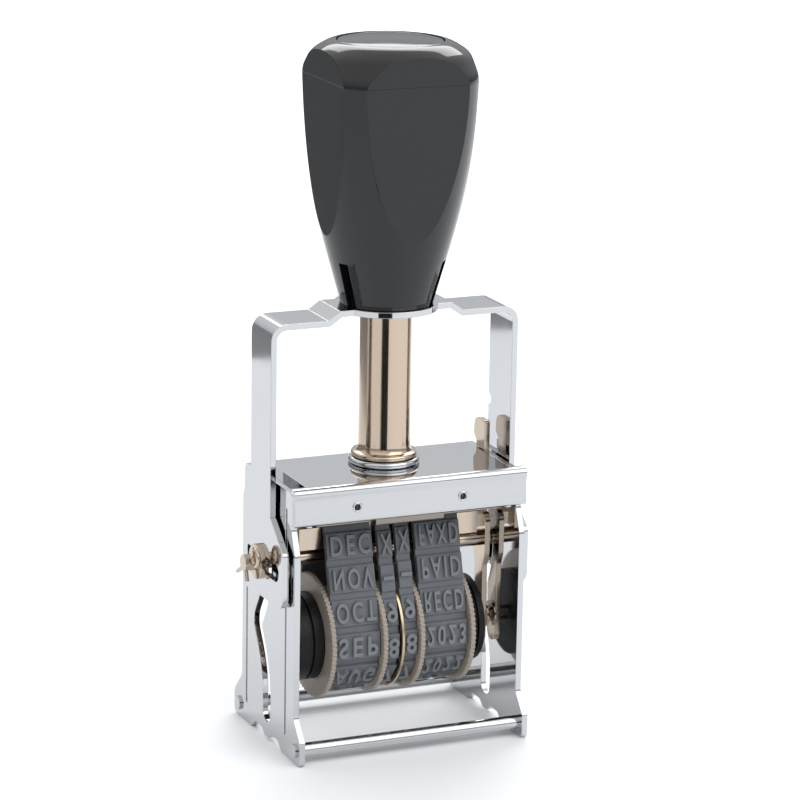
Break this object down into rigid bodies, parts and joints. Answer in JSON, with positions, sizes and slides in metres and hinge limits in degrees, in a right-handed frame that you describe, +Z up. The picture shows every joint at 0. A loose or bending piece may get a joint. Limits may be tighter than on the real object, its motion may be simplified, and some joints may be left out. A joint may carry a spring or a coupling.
{
  "type": "self inking stamp",
  "caption": "Metal self-inking date stamp with a bail, black handle, flipping band print unit, ink pad tray and toothed setting wheels.",
  "frame": {"origin": "middle of the footprint on the desk", "axes": "+X along the cross rod to the right, -Y the front where the bands are read, +Z up"},
  "size_m": [0.0552, 0.033, 0.13],
  "materials": {
    "chrome_sheet": "bright chrome plate on pressed steel sheet",
    "nickel": "bright nickel plate, warm",
    "tray_nickel": "nickel plate",
    "spring_wire": "drawn spring wire",
    "black_plastic": "moulded, satin gloss",
    "black_drum": "matt moulded",
    "brass": "rolled",
    "band_rubber": "matt grey rubber",
    "nylon": "natural nylon",
    "pad_felt": "inked felt"
  },
  "bodies": {
    "frame": {"left_side_plate": "chrome_sheet", "right_side_plate": "chrome_sheet", "front_cross_bar": "chrome_sheet", "rear_cross_bar": "chrome_sheet", "top_cover": "chrome_sheet", "front_fascia": "chrome_sheet", "fascia_rivets": "nickel", "spring_tube": "nickel", "latch_pivot_pin": "nickel"},
    "ink_tray": {"ink_pad_tray": "tray_nickel", "ink_pad": "pad_felt"},
    "latch": {"latch_lever": "nickel"},
    "bail_and_handle": {"bail": "chrome_sheet", "handle_body": "black_plastic", "handle_upper_shell": "black_plastic", "handle_top_disc": "black_plastic", "rod_end_pins": "nickel", "rod_washers": "nickel", "cotter_pins": "nickel", "return_spring": "spring_wire"},
    "rod": {"cross_rod": "nickel"},
    "print_unit": {"rotor_left_arm": "nickel", "rotor_right_arm": "nickel", "platen_bar": "nickel", "wheel_axle": "nickel", "axle_clips": "nickel", "left_spacer_drum": "black_drum", "right_spacer_drum": "black_drum", "divider_disc": "brass", "month_band": "band_rubber", "tens_band": "band_rubber", "units_band": "band_rubber", "year_band": "band_rubber"},
    "month_setter": {"month_wheel": "nylon"},
    "tens_setter": {"tens_wheel": "nylon"},
    "units_setter": {"units_wheel": "nylon"},
    "year_setter": {"year_wheel": "nylon"}
  },
  "joints": [
    {"name": "press", "type": "slide", "parent": "frame", "child": "bail_and_handle", "axis": [0, 0, -1], "range_m": [0, 0.0265], "stiffness_N_per_m": 260, "springref_m": -0.02, "deforming": ["return_spring"]},
    {"name": "rod_shift", "type": "hinge", "parent": "bail_and_handle", "child": "rod", "pos_m": [0, 0.00235, 0.0346], "axis": [1, 0, 0], "range_deg": [0, 360.01]},
    {"name": "flip", "type": "hinge", "parent": "rod", "child": "print_unit", "pos_m": [0, 0, 0.0346], "axis": [1, 0, 0], "range_deg": [-540.01, 0]},
    {"name": "latch_tip", "type": "hinge", "parent": "frame", "child": "latch", "pos_m": [0.02095, 0.002, 0.048], "axis": [1, 0, 0], "range_deg": [-80.01, 0]},
    {"name": "tray_slide", "type": "slide", "parent": "frame", "child": "ink_tray", "axis": [0, 1, 0], "range_m": [0, 0.022]},
    {"name": "month_turn", "type": "hinge", "parent": "print_unit", "child": "month_setter", "pos_m": [0, 0, 0.0194], "axis": [1, 0, 0], "continuous": true},
    {"name": "tens_turn", "type": "hinge", "parent": "print_unit", "child": "tens_setter", "pos_m": [0, 0, 0.0194], "axis": [1, 0, 0], "continuous": true},
    {"name": "units_turn", "type": "hinge", "parent": "print_unit", "child": "units_setter", "pos_m": [0, 0, 0.0194], "axis": [1, 0, 0], "continuous": true},
    {"name": "year_turn", "type": "hinge", "parent": "print_unit", "child": "year_setter", "pos_m": [0, 0, 0.0194], "axis": [1, 0, 0], "continuous": true}
  ],
  "couplings": [
    {"joint": "rod_shift", "follows": "press", "rad_per_m": 237.1},
    {"joint": "flip", "follows": "press", "rad_per_m": -355.65},
    {"joint": "latch_tip", "follows": "press", "rad_per_m": -52.689}
  ]
}
